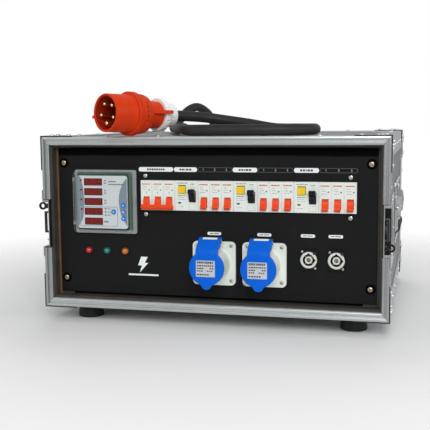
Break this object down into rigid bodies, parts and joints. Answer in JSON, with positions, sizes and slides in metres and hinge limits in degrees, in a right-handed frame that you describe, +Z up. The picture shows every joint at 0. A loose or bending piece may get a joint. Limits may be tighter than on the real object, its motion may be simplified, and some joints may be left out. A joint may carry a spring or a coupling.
{
  "type": "portable power distribution box",
  "caption": "Flight-case power distribution unit with rack panel, meter, breaker row, lidded and locking outlets, side handles, rubber feet and a five-pin supply plug on a lead.",
  "frame": {"origin": "on the floor, midway between the outermost points left and right and front and rear, which is the middle of the case", "axes": "+X to the right of a person facing the panel, +Y from the panel to the rear, +Z up"},
  "size_m": [0.538, 0.5291, 0.3503],
  "materials": {
    "breaker_grey": "light grey thermoset",
    "button_yellow": "satin",
    "cable_rubber": "neoprene sheath",
    "cover_clear": "clear polycarbonate",
    "edging": "natural anodised extrusion, scuffed",
    "foot_rubber": "moulded, matte",
    "handle_steel": "plated bail with a black rubber grip",
    "key_blue": "soft touch",
    "laminate": "phenolic laminate faced birch plywood",
    "lamp_amber": "translucent lens",
    "lamp_green": "translucent lens",
    "lamp_red": "translucent lens",
    "lever_black": "satin",
    "lever_orange": "satin",
    "lid_blue": "satin polyamide",
    "meter_white": "light grey thermoplastic",
    "nut_white": "polyamide",
    "panel_black": "fine-texture powder coat",
    "plug_red": "polyamide",
    "socket_grey": "light grey polyamide",
    "zinc_steel": "bright zinc plated"
  },
  "bodies": {
    "case": {"cable_inlet": "zinc_steel", "carcass": "laminate", "din_rail": "zinc_steel", "edging_lower": "edging", "edging_upper": "edging", "foot_front_left": "foot_rubber", "foot_front_right": "foot_rubber", "foot_rear_left": "foot_rubber", "foot_rear_right": "foot_rubber", "front_panel": "panel_black", "handle_dish_left": "zinc_steel", "handle_dish_right": "zinc_steel", "isolator_body": "breaker_grey", "latch_dish_left": "zinc_steel", "latch_dish_right": "zinc_steel", "locking_outlet_1": "socket_grey", "locking_outlet_2": "socket_grey", "mcb_bank_1": "breaker_grey", "mcb_bank_2": "breaker_grey", "mcb_bank_3": "breaker_grey", "meter_case": "meter_white", "pilot_lamp_amber": "lamp_amber", "pilot_lamp_green": "lamp_green", "pilot_lamp_red": "lamp_red", "plug_body": "plug_red", "plug_gland_nut": "nut_white", "rcd_body_1": "breaker_grey", "rcd_body_2": "breaker_grey", "rcd_body_3": "breaker_grey", "rear_board": "laminate", "socket_base_1": "socket_grey", "socket_base_2": "socket_grey", "supply_cable": "cable_rubber"},
    "handle_left": {"handle_left": "handle_steel"},
    "handle_right": {"handle_right": "handle_steel"},
    "isolator_lever": {"isolator_lever": "lever_orange"},
    "latch_key_left": {"latch_key_left": "zinc_steel"},
    "latch_key_right": {"latch_key_right": "zinc_steel"},
    "mcb_lever_1": {"mcb_lever_1": "lever_orange"},
    "mcb_lever_2": {"mcb_lever_2": "lever_orange"},
    "mcb_lever_3": {"mcb_lever_3": "lever_orange"},
    "mcb_lever_4": {"mcb_lever_4": "lever_orange"},
    "mcb_lever_5": {"mcb_lever_5": "lever_orange"},
    "mcb_lever_6": {"mcb_lever_6": "lever_orange"},
    "mcb_lever_7": {"mcb_lever_7": "lever_orange"},
    "mcb_lever_8": {"mcb_lever_8": "lever_orange"},
    "mcb_lever_9": {"mcb_lever_9": "lever_orange"},
    "meter_cover": {"meter_cover": "cover_clear"},
    "meter_key_1": {"meter_key_1": "key_blue"},
    "meter_key_2": {"meter_key_2": "key_blue"},
    "meter_key_3": {"meter_key_3": "key_blue"},
    "meter_key_4": {"meter_key_4": "key_blue"},
    "rcd_lever_1": {"rcd_lever_1": "lever_black"},
    "rcd_lever_2": {"rcd_lever_2": "lever_black"},
    "rcd_lever_3": {"rcd_lever_3": "lever_black"},
    "rcd_test_button_1": {"rcd_test_button_1": "button_yellow"},
    "rcd_test_button_2": {"rcd_test_button_2": "button_yellow"},
    "rcd_test_button_3": {"rcd_test_button_3": "button_yellow"},
    "socket_lid_1": {"socket_lid_1": "lid_blue"},
    "socket_lid_2": {"socket_lid_2": "lid_blue"}
  },
  "joints": [
    {"name": "isolator_toggle", "type": "hinge", "parent": "case", "child": "isolator_lever", "pos_m": [-0.08093, -0.2105, 0.1865], "axis": [-1, 0, 0], "range_deg": [0, 80]},
    {"name": "mcb_toggle_1", "type": "hinge", "parent": "case", "child": "mcb_lever_1", "pos_m": [-0.00981, -0.2105, 0.1865], "axis": [-1, 0, 0], "range_deg": [0, 80]},
    {"name": "mcb_toggle_2", "type": "hinge", "parent": "case", "child": "mcb_lever_2", "pos_m": [0.00797, -0.2105, 0.1865], "axis": [-1, 0, 0], "range_deg": [0, 80]},
    {"name": "mcb_toggle_3", "type": "hinge", "parent": "case", "child": "mcb_lever_3", "pos_m": [0.02575, -0.2105, 0.1865], "axis": [-1, 0, 0], "range_deg": [0, 80]},
    {"name": "mcb_toggle_4", "type": "hinge", "parent": "case", "child": "mcb_lever_4", "pos_m": [0.07909, -0.2105, 0.1865], "axis": [-1, 0, 0], "range_deg": [0, 80]},
    {"name": "mcb_toggle_5", "type": "hinge", "parent": "case", "child": "mcb_lever_5", "pos_m": [0.09687, -0.2105, 0.1865], "axis": [-1, 0, 0], "range_deg": [0, 80]},
    {"name": "mcb_toggle_6", "type": "hinge", "parent": "case", "child": "mcb_lever_6", "pos_m": [0.11465, -0.2105, 0.1865], "axis": [-1, 0, 0], "range_deg": [0, 80]},
    {"name": "mcb_toggle_7", "type": "hinge", "parent": "case", "child": "mcb_lever_7", "pos_m": [0.16799, -0.2105, 0.1865], "axis": [-1, 0, 0], "range_deg": [0, 80]},
    {"name": "mcb_toggle_8", "type": "hinge", "parent": "case", "child": "mcb_lever_8", "pos_m": [0.18577, -0.2105, 0.1865], "axis": [-1, 0, 0], "range_deg": [0, 80]},
    {"name": "mcb_toggle_9", "type": "hinge", "parent": "case", "child": "mcb_lever_9", "pos_m": [0.20355, -0.2105, 0.1865], "axis": [-1, 0, 0], "range_deg": [0, 80]},
    {"name": "rcd_toggle_1", "type": "hinge", "parent": "case", "child": "rcd_lever_1", "pos_m": [-0.02751, -0.2105, 0.195], "axis": [1, 0, 0], "range_deg": [0, 80]},
    {"name": "rcd_test_press_1", "type": "slide", "parent": "case", "child": "rcd_test_button_1", "axis": [0, 1, 0], "range_m": [0, 0.002]},
    {"name": "rcd_toggle_2", "type": "hinge", "parent": "case", "child": "rcd_lever_2", "pos_m": [0.06139, -0.2105, 0.195], "axis": [1, 0, 0], "range_deg": [0, 80]},
    {"name": "rcd_test_press_2", "type": "slide", "parent": "case", "child": "rcd_test_button_2", "axis": [0, 1, 0], "range_m": [0, 0.002]},
    {"name": "rcd_toggle_3", "type": "hinge", "parent": "case", "child": "rcd_lever_3", "pos_m": [0.15029, -0.2105, 0.195], "axis": [1, 0, 0], "range_deg": [0, 80]},
    {"name": "rcd_test_press_3", "type": "slide", "parent": "case", "child": "rcd_test_button_3", "axis": [0, 1, 0], "range_m": [0, 0.002]},
    {"name": "meter_cover_hinge", "type": "hinge", "parent": "case", "child": "meter_cover", "pos_m": [-0.2164, -0.212, 0.1854], "axis": [0, 0, -1], "range_deg": [0, 110]},
    {"name": "meter_key_press_1", "type": "slide", "parent": "case", "child": "meter_key_1", "axis": [0, 1, 0], "range_m": [0, 0.0008]},
    {"name": "meter_key_press_2", "type": "slide", "parent": "case", "child": "meter_key_2", "axis": [0, 1, 0], "range_m": [0, 0.0008]},
    {"name": "meter_key_press_3", "type": "slide", "parent": "case", "child": "meter_key_3", "axis": [0, 1, 0], "range_m": [0, 0.0008]},
    {"name": "meter_key_press_4", "type": "slide", "parent": "case", "child": "meter_key_4", "axis": [0, 1, 0], "range_m": [0, 0.0008]},
    {"name": "socket_lid_hinge_1", "type": "hinge", "parent": "case", "child": "socket_lid_1", "pos_m": [0.0047, -0.233, 0.1336], "axis": [-1, 0, 0], "range_deg": [0, 110]},
    {"name": "socket_lid_hinge_2", "type": "hinge", "parent": "case", "child": "socket_lid_2", "pos_m": [0.08005, -0.233, 0.1336], "axis": [-1, 0, 0], "range_deg": [0, 110]},
    {"name": "latch_key_turn_left", "type": "hinge", "parent": "case", "child": "latch_key_left", "pos_m": [-0.2521, -0.207, 0.152], "axis": [-1, 0, 0], "range_deg": [0, 180]},
    {"name": "handle_swing_left", "type": "hinge", "parent": "case", "child": "handle_left", "pos_m": [-0.255, 0.03, 0.19], "axis": [0, 1, 0], "range_deg": [0, 90]},
    {"name": "latch_key_turn_right", "type": "hinge", "parent": "case", "child": "latch_key_right", "pos_m": [0.2521, -0.207, 0.152], "axis": [1, 0, 0], "range_deg": [0, 180]},
    {"name": "handle_swing_right", "type": "hinge", "parent": "case", "child": "handle_right", "pos_m": [0.255, 0.03, 0.19], "axis": [0, -1, 0], "range_deg": [0, 90]}
  ]
}
